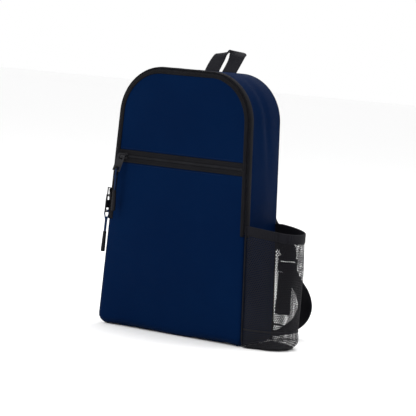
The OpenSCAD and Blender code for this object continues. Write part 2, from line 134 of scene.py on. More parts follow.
class Nodes:
    """A short way to write a material's node tree."""

    def __init__(self, name):
        self.material = bpy.data.materials.new(name)
        self.material.use_nodes = True
        self.tree = self.material.node_tree
        self.shader = self.tree.nodes["Principled BSDF"]
        self.place = self.tree.nodes.new("ShaderNodeTexCoord").outputs["Object"]
        turn = self.add("Mapping", {"Vector": self.place, "Rotation": (0, 0, math.pi / 4)})
        self.turned = turn.outputs["Vector"]

    def add(self, kind, inputs=None, **settings):
        node = self.tree.nodes.new("ShaderNode" + kind)
        for key, value in settings.items():
            setattr(node, key, value)
        for key, value in (inputs or {}).items():
            self.put(node.inputs[key], value)
        return node

    def put(self, socket, value):
        if isinstance(value, bpy.types.NodeSocket):
            self.tree.links.new(value, socket)
        else:
            socket.default_value = value

    def math(self, operation, a, b=0.0):
        node = self.add("Math", {0: a, 1: b}, operation=operation)
        return node.outputs[0]

    def noise(self, scale, detail=3.0):
        return self.add("TexNoise", {"Vector": self.place, "Scale": scale, "Detail": detail}).outputs["Fac"]

    def wave(self, axis, pitch):
        """A ripple along Z, or along the horizontal line between X and Y. pitch is in metres."""
        node = self.add("TexWave", {"Vector": self.turned, "Scale": 0.314159 / pitch}, wave_type="BANDS",
                        bands_direction=axis, wave_profile="SIN")
        return node.outputs["Fac"]

    def weave(self, pitch):
        """A woven height that shows on the front and on the sides alike."""
        return self.math("MULTIPLY", self.wave("X", pitch * 0.7), self.wave("Z", pitch))

    def colour(self, factor, dark, light):
        ramp = self.add("ValToRGB", {"Fac": factor})
        ramp.color_ramp.elements[0].position = 0.3
        ramp.color_ramp.elements[1].position = 0.7
        ramp.color_ramp.elements[0].color = (*dark, 1)
        ramp.color_ramp.elements[1].color = (*light, 1)
        return ramp.outputs["Color"]

    def finish(self, height, distance, strength, **sockets):
        bump = self.add("Bump", {"Height": height, "Distance": distance, "Strength": strength})
        self.put(self.shader.inputs["Normal"], bump.outputs["Normal"])
        for key, value in sockets.items():
            self.put(self.shader.inputs[key.replace("_", " ")], value)
        return self.material


def fabric(name, dark, light, pitch, rough=0.75, sheen=0.25, tint=(1, 1, 1), gloss=0.12):
    """Plain woven cloth, with faint rumples and uneven colour."""
    n = Nodes(name)
    weave = n.weave(pitch)
    rumples = n.noise(28, 4)
    height = n.math("ADD", n.math("MULTIPLY", weave, 0.35), n.math("MULTIPLY", rumples, 1.5))
    shade = n.math("ADD", n.math("MULTIPLY", weave, 0.35), n.math("MULTIPLY", n.noise(9, 3), 0.65))
    n.put(n.shader.inputs["Base Color"], n.colour(shade, dark, light))
    return n.finish(height, 0.0006, 0.55, Roughness=rough, Sheen_Weight=sheen, Sheen_Roughness=0.45,
                    Sheen_Tint=(*tint, 1), Specular_IOR_Level=gloss)


def webbing(name, dark, light, pitch):
    """Ribbed narrow fabric: strong ribs one way and fine ones the other."""
    n = Nodes(name)
    ribs = n.math("ADD", n.wave("X", pitch), n.math("MULTIPLY", n.wave("Z", pitch * 0.7), 0.7))
    height = n.math("ADD", ribs, n.math("MULTIPLY", n.noise(300, 2), 0.5))
    shade = n.math("ADD", n.math("MULTIPLY", height, 0.25), n.math("MULTIPLY", n.noise(40, 4), 0.5))
    n.put(n.shader.inputs["Base Color"], n.colour(shade, dark, light))
    return n.finish(height, 0.0005, 0.6, Roughness=0.6, Sheen_Weight=0.004, Sheen_Roughness=0.4,
                    Specular_IOR_Level=0.07)


def moulded(name, dark, light, rough, metallic=0.0, grain=900, depth=0.00008, gloss=0.25):
    """Moulded plastic, rubber, foam or enamelled metal, finely grained and a little worn."""
    n = Nodes(name)
    speck = n.noise(grain, 2)
    worn = n.noise(60, 5)
    n.put(n.shader.inputs["Base Color"], n.colour(worn, dark, light))
    height = n.math("ADD", speck, n.math("MULTIPLY", worn, 0.5))
    roughness = n.math("ADD", rough - 0.08, n.math("MULTIPLY", worn, 0.16))
    return n.finish(height, depth, 0.5, Roughness=roughness, Metallic=metallic, Specular_IOR_Level=gloss)


def build_materials():
    navy_dark, navy_light = (0.0, 0.0060, 0.0295), (0.0003, 0.0085, 0.037)
    black_dark, black_light = (0.0035, 0.0035, 0.0055), (0.0075, 0.0075, 0.0105)
    return {
        "shell_fabric": fabric("navy_polyester", navy_dark, navy_light, 0.0008, rough=0.6, sheen=0.003,
                               tint=(0.3, 0.5, 1.0), gloss=0.015),
        "black_fabric": webbing("black_webbing", black_dark, black_light, 0.0012),
        "lining_fabric": fabric("grey_lining", (0.035, 0.038, 0.045), (0.055, 0.06, 0.07), 0.0006),
        "mesh_fabric": fabric("black_mesh", (0.006, 0.006, 0.008), (0.014, 0.014, 0.017), 0.0005,
                              sheen=0.01, gloss=0.1),
        "zip_tape": webbing("zip_tape", (0.0022, 0.0022, 0.0034), (0.0055, 0.0053, 0.0072), 0.0009),
        "zip_teeth": moulded("zip_teeth", (0.005, 0.005, 0.007), (0.011, 0.011, 0.014), 0.38, gloss=0.15),
        "zip_metal": moulded("black_enamel", (0.006, 0.006, 0.008), (0.016, 0.016, 0.019), 0.3,
                             metallic=0.25),
        "lock_plastic": moulded("black_acetal", (0.008, 0.008, 0.0085), (0.014, 0.014, 0.015), 0.45),
        "cord_fabric": webbing("navy_cord", (0.004, 0.013, 0.045), (0.009, 0.028, 0.085), 0.0007),
        "grip_rubber": moulded("black_rubber", (0.003, 0.003, 0.004), (0.007, 0.007, 0.009), 0.55,
                               grain=1400, gloss=0.12),
        "thread": fabric("navy_thread", (0.003, 0.012, 0.045), (0.006, 0.022, 0.07), 0.0003, sheen=0.02),
        "black_thread": fabric("black_thread", (0.01, 0.01, 0.011), (0.022, 0.022, 0.024), 0.0003,
                               sheen=0.02),
        "black_pad": fabric("black_pad_cover", black_dark, black_light, 0.0009, rough=0.8, sheen=0.01),
    }


# ---------- mesh helpers ----------

def mesh_object(name, points, faces):
    mesh = bpy.data.meshes.new(name)
    mesh.from_pydata([tuple(float(c) * 0.001 for c in p) for p in points], [], faces)
    mesh.update()
    mesh.shade_smooth()
    obj = bpy.data.objects.new(name, mesh)
    bpy.context.collection.objects.link(obj)
    return obj


def grid_object(name, rows, flip=False):
    """A sheet of quads through rows of points; flip turns its faces over."""
    rows = np.asarray(rows, float)
    m, n = rows.shape[:2]
    faces = []
    for i in range(m - 1):
        for k in range(n - 1):
            a, b = i * n + k, i * n + k + 1
            face = (a, b, b + n, a + n)
            faces.append(face[::-1] if flip else face)
    return mesh_object(name, rows.reshape(-1, 3), faces)


def sweep_object(name, rings, caps=True):
    """A closed tube of any section through rings of points."""
    rings = np.asarray(rings, float)
    m, n = rings.shape[:2]
    faces = []
    for i in range(m - 1):
        for k in range(n):
            a, b = i * n + k, i * n + (k + 1) % n
            faces.append((a, b, b + n, a + n))
    if caps:
        faces.append(tuple(range(n))[::-1])
        faces.append(tuple((m - 1) * n + k for k in range(n)))
    return mesh_object(name, rings.reshape(-1, 3), faces)


def modify(obj, kind, **settings):
    modifier = obj.modifiers.new(kind.lower(), kind)
    for key, value in settings.items():
        setattr(modifier, key, value)
    return modifier


def thicken(obj, thickness, offset):
    """Gives a sheet its cloth's thickness, in metres."""
    modify(obj, "SOLIDIFY", thickness=thickness, offset=offset)
    return bake(obj)


def bake(obj):
    """Applies an object's modifiers."""
    bpy.context.view_layer.update()
    evaluated = obj.evaluated_get(bpy.context.evaluated_depsgraph_get())
    mesh = bpy.data.meshes.new_from_object(evaluated)
    old = obj.data
    obj.modifiers.clear()
    obj.data = mesh
    mesh.name = old.name
    bpy.data.meshes.remove(old)
    return obj


def paint(obj, slot, material=None):
    obj.data.materials.clear()
    obj.data.materials.append(MATERIALS[material or slot])


def place(obj, body, slot, nodes=(), material=None):
    """Gives a finished piece its material, its body and the CAD nodes it stands for."""
    paint(obj, slot, material)
    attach(obj, body)
    if nodes:
        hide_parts(*nodes)
    return obj


def rumple(points, size, depth, seed):
    """Soft noise at each point, mostly from -depth to depth."""
    return np.array([noise.noise(Vector((p[0] / size + seed, p[1] / size, p[2] / size))) * depth * 2
                     for p in points])


def spline(points, steps):
    """A smooth curve through the points, with that many steps a span."""
    p = np.asarray(points, float)
    out = []
    for i in range(len(p) - 1):
        a, b, c, d = p[max(i - 1, 0)], p[i], p[i + 1], p[min(i + 2, len(p) - 1)]
        for k in range(steps):
            t = k / steps
            out.append(0.5 * (2 * b + (c - a) * t + (2 * a - 5 * b + 4 * c - d) * t ** 2
                              + (3 * b - a - 3 * c + d) * t ** 3))
    out.append(p[-1])
    return np.array(out)


def resample(points, step):
    """The same line with points an even distance apart."""
    p = np.asarray(points, float)
    along = np.r_[0, np.cumsum(np.linalg.norm(np.diff(p[:, :3], axis=0), axis=1))]
    count = max(int(round(along[-1] / step)), 2)
    at = np.linspace(0, along[-1], count + 1)
    return np.stack([np.interp(at, along, p[:, k]) for k in range(p.shape[1])], axis=1)


def unit(v):
    return v / max(np.linalg.norm(v), 1e-9)


def band_rings(path, widths, across, section):
    """Rings of a section swept along a path. section is in (part of the half-width, mm out)."""
    rings = []
    for i, p in enumerate(path):
        tangent = unit(path[min(i + 1, len(path) - 1)] - path[max(i - 1, 0)])
        out = unit(np.cross(tangent, across[i]))
        side = np.cross(out, tangent)
        rings.append([p + side * a * widths[i] / 2 + out * b for a, b in section])
    return rings


def webbing_section(thickness):
    """A flat strip's section with rounded edges and a slightly proud edge on each side."""
    t = thickness / 2
    return [(-0.97, -t), (-0.5, -t * 0.92), (0, -t * 0.9), (0.5, -t * 0.92), (0.97, -t), (1, -t * 0.5),
            (1, t * 0.5), (0.97, t), (0.5, t * 0.92), (0, t * 0.9), (-0.5, t * 0.92), (-0.97, t),
            (-1, t * 0.5), (-1, -t * 0.5)]


def strip(name, path, width, across, thickness):
    """A webbing or tape along a path. across is its width's direction, one for all points or one each."""
    widths = [width] * len(path)
    across = across if np.ndim(across) == 2 else [np.array(across, float)] * len(path)
    return sweep_object(name, band_rings(path, widths, across, webbing_section(thickness)))


def lozenge_faces(faces, start):
    """Closes four rings of six points, the first of them numbered start."""
    for ring in range(3):
        for a in range(6):
            b = (a + 1) % 6
            q = start + ring * 6
            faces.append((q + a, q + b, q + 6 + b, q + 6 + a))
    faces.append(tuple(start + a for a in range(6))[::-1])
    faces.append(tuple(start + 18 + a for a in range(6)))


def stitches(name, lines, normals, length, gap, radius):
    """Rows of separate thread stitches, each a small six-sided lozenge lying on the cloth."""
    points, faces = [], []
    for line, normal in zip(lines, normals):
        p = resample(line, length + gap)
        for i in range(len(p) - 1):
            along = unit(p[i + 1] - p[i])
            n = unit(np.array(normal if np.ndim(normal) == 1 else normal[min(i, len(normal) - 1)], float))
            side = unit(np.cross(along, n))
            start = len(points)
            for f, r in ((0, 0.3), (0.25, 1), (0.75, 1), (1, 0.3)):
                centre = p[i] + along * length * f
                for angle in SIX:
                    points.append(centre + (side * math.cos(angle) + n * math.sin(angle) * 0.8) * radius * r)
            lozenge_faces(faces, start)
    return mesh_object(name, points, faces)


def inflate(obj, voxel, pressure, cap, pinned):
    """Puffs a closed cover up a little, by a short cloth simulation with pressure inside. cap is the most that
    a point may move, and pinned(x, y, z) says which points hold still."""
    modify(obj, "REMESH", mode="VOXEL", voxel_size=voxel * 0.001)
    bake(obj)
    start = np.array([v.co[:] for v in obj.data.vertices])
    held = obj.vertex_groups.new(name="held")
    held.add([i for i, p in enumerate(start * 1000) if pinned(*p)], 1.0, "REPLACE")
    cloth = modify(obj, "CLOTH")
    cloth.settings.use_pressure = True
    cloth.settings.uniform_pressure_force = pressure
    cloth.settings.vertex_group_mass = "held"
    cloth.settings.effector_weights.gravity = 0
    cloth.point_cache.frame_start, cloth.point_cache.frame_end = 1, CLOTH_FRAMES
    for step in range(1, CLOTH_FRAMES + 1):
        bpy.context.scene.frame_set(step)
    bake(obj)
    bpy.context.scene.frame_set(1)
    moved = np.array([v.co[:] for v in obj.data.vertices]) - start
    reach = np.linalg.norm(moved, axis=1, keepdims=True)
    moved *= np.minimum(1, cap * 0.001 / np.maximum(reach, 1e-9))
    for vertex, p in zip(obj.data.vertices, start + moved):
        vertex.co = p
    modify(obj, "SUBSURF", levels=1, render_levels=1)
    bake(obj)
    obj.data.shade_smooth()
    return obj


# ---------- the body's outline ----------

CORNER_X, SHOULDER_X, SHOULDER_Z = BASE_X - CORNER_R, TOP_X - SHOULDER_R, HEIGHT - SHOULDER_R
ARC_DX, ARC_DZ = SHOULDER_X - CORNER_X, SHOULDER_Z - CORNER_R
LEAN = -math.asin((SHOULDER_R - CORNER_R) / math.hypot(ARC_DX, ARC_DZ)) - math.atan(ARC_DX / ARC_DZ)
LEG_REACH = CORNER_X * math.cos(LEAN) + CORNER_R * math.sin(LEAN) + CORNER_R


def leg_x(z):
    """Where the outline's straight leg is at the height z."""
    return (LEG_REACH - z * math.sin(LEAN)) / math.cos(LEAN)


def arc(x, z, radius, first, last, count):
    """Rows of x, z, nx, nz along an arc, between two angles in degrees."""
    return [(x + radius * math.cos(a), z + radius * math.sin(a), math.cos(a), math.sin(a))
            for a in np.radians(np.linspace(first, last, count))]


def half_width(z):
    """Half-width of the front face at the height z."""
    if z < CORNER_R:
        return CORNER_X + math.sqrt(max(CORNER_R ** 2 - (CORNER_R - z) ** 2, 0))
    if z > SHOULDER_Z + SHOULDER_R * math.sin(LEAN):
        return SHOULDER_X + math.sqrt(max(SHOULDER_R ** 2 - (z - SHOULDER_Z) ** 2, 0))
    return leg_x(z)


def half_outline(step):
    """Right half of the outline from the base's middle to the top's middle: rows of x, z, nx, nz."""
    lean, rows = math.degrees(LEAN), []
    for x in np.linspace(0, CORNER_X, 20)[:-1]:
        rows.append((x, 0, 0, -1))
    rows += arc(CORNER_X, CORNER_R, CORNER_R, -90, lean, 14)
    rows += arc(SHOULDER_X, SHOULDER_Z, SHOULDER_R, lean, 90, 60)
    for x in np.linspace(SHOULDER_X, 0, 12)[1:]:
        rows.append((x, HEIGHT, 0, 1))
    p = np.array(rows)
    along = np.r_[0, np.cumsum(np.linalg.norm(np.diff(p[:, :2], axis=0), axis=1))]
    at = np.linspace(0, along[-1], int(along[-1] / step) + 1)
    p = np.stack([np.interp(at, along, p[:, k]) for k in range(4)], axis=1)
    p[:, 2:] /= np.linalg.norm(p[:, 2:], axis=1)[:, None]
    return p


def arch(z_end, step=4.0):
    """The outline from z_end on the left side, over the top, to z_end on the right side."""
    half = half_outline(step)
    half = half[(half[:, 1] >= z_end) | (half[:, 3] > 0.5)]
    half = half[half[:, 3] > -0.2]
    half[0, :2] = (half_width(z_end), z_end)
    left = half * [-1, 1, -1, 1]
    return np.vstack([left, half[::-1][1:]])


def face_y(x, z):
    """The front face's surface: crowned above and below the pocket zip, rolled at its edges."""
    w = max(half_width(min(max(z, 0.5), HEIGHT - 0.5)), 1)
    f = min(abs(x) / w, 1)
    across = 1 - f ** 2.6
    low = 5.5 * math.exp(-((z - 112) / 72) ** 2)
    high = 3.2 * math.exp(-((z - 322) / 34) ** 2)
    y = FRONT_Y - (low + high) * across
    edge = w - abs(x)
    if edge < 5:
        y += 2.6 * (1 - edge / 5) ** 2
    if z < 11:
        y += 8 * (1 - z / 11) ** 2
    if z > HEIGHT - 5:
        y += 2.6 * ((z - HEIGHT + 5) / 5) ** 2
    return y


# ---------- the body's fabric ----------

def face_panel(name, z0, z1, rows):
    """Part of the front face between two heights."""
    grid = []
    for z in np.linspace(z0, z1, rows):
        w = half_width(z)
        t = np.linspace(-1, 1, 70)
        # Columns stand closer together near the panel's edges.
        xs = w * np.sin(t * math.pi / 2) * 0.35 + w * t * 0.65
        line = np.array([(x, face_y(x, z), z) for x in xs])
        fade = np.clip((w - np.abs(xs)) / 18, 0, 1) * min(1, abs(z - ZIP_Z) / 30 + 0.05)
        line[:, 1] += (rumple(line, 90, 0.8, 3) + rumple(line, 24, 0.22, 9)) * fade
        # The bottom edge isn't quite straight where it meets the base.
        sag = (1.3 + 1.3 * np.sin(xs / 30 - 1.9)) * max(0, 1 - z / 40) ** 2
        line[:, 2] += sag * np.clip((w - np.abs(xs)) / 30, 0, 1)
        grid.append(line)
    return thicken(grid_object(name, grid), 0.0011, -1)


def build_front():
    low = face_panel("front_lower_fabric", 0.6, ZIP_Z - BAND_H / 2 + 1.2, 84)
    paint(low, "shell_fabric")
    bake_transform(low)
    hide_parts("front_lower_panel", "pocket_panel_upper")
    high = face_panel("front_upper_fabric", ZIP_Z + BAND_H / 2 - 1.2, HEIGHT - 0.4, 56)
    place(high, "front_flap", "shell_fabric", ["front_upper_panel"])


def side_point(row, y, out):
    """A point of the sides at depth y, moved out along the outline's normal."""
    x, z, nx, nz = row
    t = (y - FRONT_Y) / (BACK_Y - FRONT_Y)
    return np.array([x - BACK_INSET * t * np.clip(x / 60, -1, 1) + nx * out, y, z + nz * out])


def side_bulge(row, y):
    """How far the side fabric stands out between its two seams."""
    t = (y - FRONT_Y) / (BACK_Y - FRONT_Y)
    _, z, nx, nz = row
    soft = math.sin(math.pi * min(max(t, 0), 1))
    out = (2.4 * abs(nx) + 0.8 * max(nz, 0)) * soft
    if nx > 0.2 and z > 150:
        # A soft fold runs down from the shoulder and dies out lower down.
        fold = t - 0.42 - 0.22 * (HEIGHT - 40 - z) / 130
        fade = math.exp(-((z - 318) / 62) ** 2) * min(1, nx * 1.3)
        ridge = 1.5 * math.exp(-((fold + 0.10) / 0.10) ** 2)
        hollow = 2.0 * math.exp(-((fold - 0.06) / 0.09) ** 2)
        out += (ridge - hollow) * fade
    return out


def build_gusset():
    """The one cloth that makes both sides and the top."""
    path = half_outline(4.0)
    path = path[path[:, 3] > -0.995]
    left = path * [-1, 1, -1, 1]
    ring = np.vstack([left, path[::-1][1:]])
    rows = []
    for y in np.r_[-42.6, np.linspace(-40, 42, 20), 44.2]:
        line = np.array([side_point(row, y, side_bulge(row, y) - (0.5 if y < -32 else 0.1)) for row in ring])
        push = rumple(line, 60, 0.9, 21) * np.clip((y + 42) / 12, 0, 1) * np.clip((44 - y) / 12, 0, 1)
        line[:, 0] += push * ring[:, 2]
        line[:, 2] += push * ring[:, 3] * 0.6
        # The bottom front corners roll under with the front face.
        line[:, 1] += 7 * np.clip(1 - line[:, 2] / 12, 0, 1) ** 2 * np.clip((-15 - y) / 27, 0, 1)
        line[:, 2] = np.maximum(line[:, 2], 0.3)
        rows.append(line)
    obj = thicken(grid_object("side_fabric", rows, flip=True), FABRIC_T, -1)
    place(obj, "pack_shell", "shell_fabric", ["gusset"])


def build_base():
    rows = []
    for y in np.linspace(-40, 44, 22):
        inset = BACK_INSET * (y - FRONT_Y) / (BACK_Y - FRONT_Y)
        w = CORNER_X + 1.5 - inset
        rise = 0.5 + 7 * max(0, (-34 - y) / 6) ** 2 + 4 * max(0, (y - 38) / 6) ** 2
        line = np.array([(x, y, rise) for x in np.linspace(-w, w, 60)])
        line[:, 2] += np.abs(rumple(line, 50, 0.5, 31))
        rows.append(line)
    obj = thicken(grid_object("base_fabric", rows, flip=True), FABRIC_T, -1)
    place(obj, "pack_shell", "shell_fabric", ["base_panel"])


def channel(x, z):
    """How near a point of the back is to one of its two sewn channels, from 0 to 1."""
    ends = min(1, max(0, (330 - z) / 20), max(0, (z - 30) / 20))
    return sum(math.exp(-((x - c) / CHANNEL_W) ** 2) for c in (-CHANNEL_X, CHANNEL_X)) * ends


def build_back():
    """The padded back panel, a closed cushion with two sewn channels, and the lining in front of it."""
    rings, inner = [], []
    for z in np.linspace(1, HEIGHT - 0.5, 90):
        w = half_width(z) - BACK_INSET
        out_line, in_line = [], []
        for x in w * np.linspace(-1, 1, 56):
            soft = (1 - min(abs(x) / w, 1) ** 6) * (1 - abs((z - HEIGHT / 2) / (HEIGHT / 2)) ** 14)
            puff = soft * (PUFF - (PUFF - 0.4) * min(channel(x, z), 1))
            out_line.append((x, BACK_Y - 1 + puff, z))
            in_line.append((x * 0.985, BACK_Y - 7.4 + 1.5 * (1 - soft), min(max(z, 4), HEIGHT - 4)))
        line = np.array(out_line)
        line[:, 1] += rumple(line, 40, 0.3, 41)
        rings.append(np.vstack([line, [(x, BACK_Y - 3.4, z) for x in line[::-1, 0]]]))
        inner.append(in_line)
    obj = sweep_object("back_padding", rings)
    inflate(obj, 3.5, 5, 2.5, lambda x, y, z: (
        y < BACK_Y - 1.5 or channel(x, z) > 0.35 or z < 8 or z > HEIGHT - 8
        or abs(x) > half_width(z) - BACK_INSET - 7))
    place(obj, "pack_shell", "black_fabric", ["back_panel"], "black_pad")
    lining = thicken(grid_object("back_lining", inner), 0.0035, -1)
    place(lining, "pack_shell", "lining_fabric", ["back_foam_pad"])


def build_back_piping():
    """A bound seam all round the back, where the sides meet the padding."""
    half = half_outline(3.0)
    ring = np.vstack([half * [-1, 1, -1, 1], half[::-1][1:-1]])
    angles = np.linspace(0, 2 * math.pi, 9)[:-1]
    rings = []
    for row in ring:
        # Along the base the piping stands clear of the floor.
        rise = [0, 0, 1.9 * (row[3] < -0.9)]
        rings.append([side_point(row, BACK_Y - 0.2 + 1.5 * math.sin(a), -0.3 + 1.5 * math.cos(a)) + rise
                      for a in angles])
    rings.append(rings[0])
    place(sweep_object("back_seam_piping", rings, caps=False), "pack_shell", "black_fabric")


def build_pocket_lining():
    for name, body, z0, z1, node in (
            ("pocket_bag_lower", "pack_shell", 20, FOLD_Z - 3, "pocket_lining_lower"),
            ("pocket_bag_upper", "front_flap", FOLD_Z + 3, ZIP_Z + BAND_H / 2, "pocket_lining_upper")):
        rows = []
        for z in np.linspace(z0, z1, 30):
            w = half_width(z) - 14
            line = np.array([(x, FRONT_Y + 9.4, z) for x in np.linspace(-w, w, 44)])
            line[:, 1] += rumple(line, 40, 0.9, 51)
            rows.append(line)
        obj = thicken(grid_object(name, rows), 0.0006, 0)
        place(obj, body, "lining_fabric", [node])


# ---------- zips ----------

def edge_sweep(name, profile, z_end):
    """A profile of (out, y) points swept along the arch."""
    path = arch(z_end, 3.0)
    rings = [[side_point(row, y, out) for out, y in profile] for row in path]
    return sweep_object(name, rings)


def build_main_zip():
    """A rolled tape on each side of the groove, the coil in it, and a row of stitches."""
    flap = edge_sweep("main_tape_flap_side", [
        (-7.4, -45.2), (-7.4, -45.9), (-6.4, -46.5), (-4.4, -46.9), (-2.6, -46.7), (-1.5, -45.9),
        (-1.1, -44.8), (-1.5, -44.0), (-3, -44.2), (-6, -44.8)], FOLD_Z + 2)
    place(flap, "front_flap", "zip_tape", ["main_zip_tape_flap", "main_zip_teeth_flap"])
    body = edge_sweep("main_tape_body_side", [
        (0.2, -44.2), (0.7, -44.9), (1.7, -44.3), (2.5, -42.4), (2.8, -39.6), (2.5, -36.4), (1.7, -34.2),
        (0.6, -33.6), (0.3, -36), (0.2, -40)], FOLD_Z + 1)
    place(body, "pack_shell", "zip_tape", ["main_zip_tape_body", "main_zip_teeth_body"])
    # The closed coil shows as a fine ridged line at the bottom of the groove.
    points, faces = [], []
    path = arch(FOLD_Z + 6, 1.6)
    for row in path:
        along = np.array([-row[3], 0, row[2]])
        centre = side_point(row, -44.3, -0.45)
        n = np.array([row[2], 0, row[3]])
        add_tooth(points, faces, centre, along, unit(n * 0.75 + np.array([0, 0.65, 0])), 0.55, 0.85)
    coil = mesh_object("main_coil", points, faces)
    place(coil, "pack_shell", "zip_teeth")
    line = np.array([side_point(row, -46.75, -5.9) for row in arch(FOLD_Z + 3)])
    place(stitches("main_tape_stitches", [line], [(0, -1, 0)], 2.0, 0.9, 0.22), "front_flap", "zip_tape",
          material="black_thread")


def add_tooth(points, faces, centre, along, across, half_long, half_wide):
    """One rounded coil turn: a small pillow of four rings of six points."""
    out = unit(np.cross(along, across))
    start = len(points)
    for w, r in ((-1, 0.45), (-0.6, 1), (0.6, 1), (1, 0.45)):
        for angle in SIX:
            points.append(centre + across * w * half_wide + along * math.cos(angle) * half_long * r
                          + out * math.sin(angle) * half_long * r)
    lozenge_faces(faces, start)


def build_pocket_zip():
    """Two tapes with the coil between them, and four rows of stitches. Profiles are (up, out)."""
    half = half_width(ZIP_Z + BAND_H / 2) - 4.5
    xs = np.linspace(-half, half, 120)

    def tape(name, node, profile):
        rings = []
        for x in xs:
            sway = 0.25 * noise.noise(Vector((x / 40, 2.2, 7)))
            rings.append([(x, FRONT_Y - out + sway, ZIP_Z + up) for up, out in profile])
        place(sweep_object(name, rings), "front_flap", "zip_tape", [node])

    tape("pocket_tape_upper", "pocket_zip_tape_upper", [
        (2.0, 0.2), (2.1, 1.0), (3.2, 1.35), (6.5, 1.25), (8.6, 1.3), (9.5, 0.9), (9.5, 0.1), (5, -0.2)])
    tape("pocket_tape_lower", "pocket_zip_tape_lower", [
        (-2.0, 0.2), (-5, -0.2), (-9.5, 0.1), (-9.5, 0.9), (-8.6, 1.3), (-6.5, 1.25), (-3.2, 1.35),
        (-2.1, 1.0)])
    points, faces = [], []
    end = half_width(ZIP_Z) - 9
    x, side = -end, 1
    while x < end:
        centre = np.array([x, FRONT_Y - 0.95, ZIP_Z + side * 0.75])
        across = unit(np.array([0.25 * side, 0, 1.0]))
        add_tooth(points, faces, centre, np.array([1.0, 0, 0]), across, 0.5, 1.45)
        x += 0.78
        side = -side
    place(mesh_object("pocket_coil", points, faces), "front_flap", "zip_teeth", ["pocket_zip_teeth"])
    lines = [[(x, face_y(x, ZIP_Z + up) - 0.12, ZIP_Z + up) for x in xs]
             for up in (BAND_H / 2 + 2.2, -BAND_H / 2 - 2.2)]
    place(stitches("pocket_seam_stitches", lines, [(0, -1, 0)] * 2, 2.2, 1.0, 0.24), "front_flap",
          "shell_fabric", material="thread")
    lines = [[(x, FRONT_Y - 1.42, ZIP_Z + up) for x in xs] for up in (7.8, -7.8)]
    place(stitches("pocket_tape_stitches", lines, [(0, -1, 0)] * 2, 2.0, 0.9, 0.2), "front_flap", "zip_tape",
          material="black_thread")


def smooth_cad(name, slot, width, segments=2):
    """Keeps a CAD solid, with its edges softened."""
    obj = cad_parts[name]
    obj.data.materials.clear()
    obj.data.materials.append(MATERIALS[slot])
    modify(obj, "BEVEL", width=width * 0.001, segments=segments, limit_method="ANGLE", angle_limit=0.6)


def build_hardware():
    for name in ("pocket_slider", "pocket_puller", "main_slider", "main_puller"):
        smooth_cad(name, "zip_metal", 0.3)
    for name in ("pocket_zip_end_stops", "main_zip_end_stops"):
        smooth_cad(name, "zip_metal", 0.12, 1)
    for name in ("ladder_lock_left", "ladder_lock_right"):
        smooth_cad(name, "lock_plastic", 0.6)
    for name in ("pocket_pull_grip", "main_pull_grip"):
        smooth_cad(name, "grip_rubber", 0.3)


# ---------- pull cords ----------

# Half of the cord's loop, from under the puller's bar to the grip: how far out, and how far down.
CORD_HALF = [(0, -2.2), (1.6, -1.9), (3, -0.9), (3.8, 0.6), (4, 2.2), (3.7, 4.2), (3, 6.4), (2.2, 8.6),
             (1.5, 10.6), (1.15, 12.6), (1.1, 15), (1.1, 18), (1.1, 21), (1.1, 24), (1.1, 26.5), (1.1, 29)]
CORD_D, KNOT_Z = 2.0, -9.6
WINDOW_H, PLATE_LEN, SLOT_H, BAR_R, PIN_GAP = 7, 11.4, 5, 1, 0.2
BAR_DROP = PIN_R + WINDOW_H + PLATE_LEN + SLOT_H + BAR_R + PIN_GAP


def build_cords():
    """Each cord goes round its puller's bottom bar and down into its grip."""
    turn, lean = math.radians(PULLER_TURN), math.radians(PULLER_LEAN)
    down = BAR_DROP - PIN_RISE
    pocket_bar = (SLIDER_X - down * math.sin(lean) * math.cos(turn),
                  FRONT_Y - BRIDGE_OUT - down * math.sin(lean) * math.sin(turn),
                  ZIP_Z - down * math.cos(lean))
    out, along = TAPE_T + MAIN_PIN_OUT, -FOOT_IN + PIN_R + PIN_GAP - BAR_DROP
    main_bar = (-leg_x(MAIN_SLIDER_Z) - math.cos(LEAN) * out + math.sin(LEAN) * along,
                FRONT_Y + FLAP_DEPTH + GAP / 2,
                MAIN_SLIDER_Z + math.sin(LEAN) * out + math.cos(LEAN) * along)
    for name, body, bar, turn, lean, node, grip in (
            ("pocket_cord", "pocket_pull", pocket_bar, turn, 0, "pocket_pull_cord", "pocket_pull_grip"),
            ("main_cord", "main_pull", main_bar, -math.pi / 2, LEAN, "main_pull_cord", "main_pull_grip")):
        local = [(-o, -d) for o, d in CORD_HALF[::-1]] + [(o, -d) for o, d in CORD_HALF[1:]]
        # The loop lies across the puller's bar, so its plane stands square to the plate.
        route = []
        for o, d in local:
            x, y, z = -math.sin(turn) * o, math.cos(turn) * o, d
            route.append((bar[0] + x * math.cos(lean) + z * math.sin(lean), bar[1] + y,
                          bar[2] + z * math.cos(lean) - x * math.sin(lean)))
        route = [(p[0] * 0.001, p[1] * 0.001, p[2] * 0.001) for p in route]
        curve = bpy.data.curves.new(name, "CURVE")
        curve.dimensions = "3D"
        curve.bevel_depth = CORD_D / 2000
        curve.bevel_resolution = 4
        curve.use_fill_caps = True
        line = curve.splines.new("POLY")
        line.points.add(len(route) - 1)
        for point, p in zip(line.points, route):
            point.co = (*p, 1)
        cord = bpy.data.objects.new(name, curve)
        bpy.context.collection.objects.link(cord)
        cord.data.materials.append(MATERIALS["cord_fabric"])
        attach(cord, body)
        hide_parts(node)
        build_knot(name + "_knot", body, bar, turn, lean)


